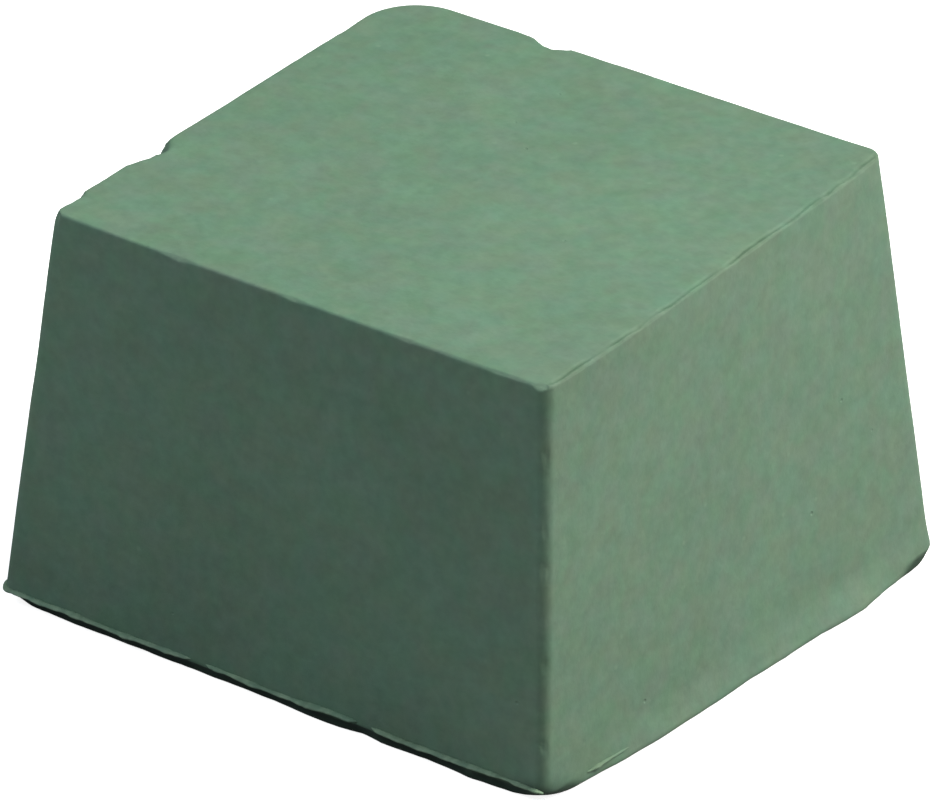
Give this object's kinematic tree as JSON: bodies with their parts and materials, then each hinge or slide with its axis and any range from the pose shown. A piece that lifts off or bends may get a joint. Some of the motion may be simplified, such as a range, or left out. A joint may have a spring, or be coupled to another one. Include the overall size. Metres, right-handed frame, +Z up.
{
  "type": "polishing compound block",
  "caption": "Tapered rectangular block of matte green polishing compound with crisp, slightly chipped edges and a thin cast flash round its wider base, which it rests on.",
  "frame": {"origin": "middle of the flat resting face, under the wider base", "axes": "+Z up from the resting face to the narrow top, +X along the longer side, +Y towards the back"},
  "size_m": [0.0466, 0.043, 0.03],
  "materials": {
    "compound": "matte",
    "compound_flash": "matte"
  },
  "bodies": {
    "root": {"block_body": "compound", "rim_flash": "compound_flash"}
  },
  "joints": []
}
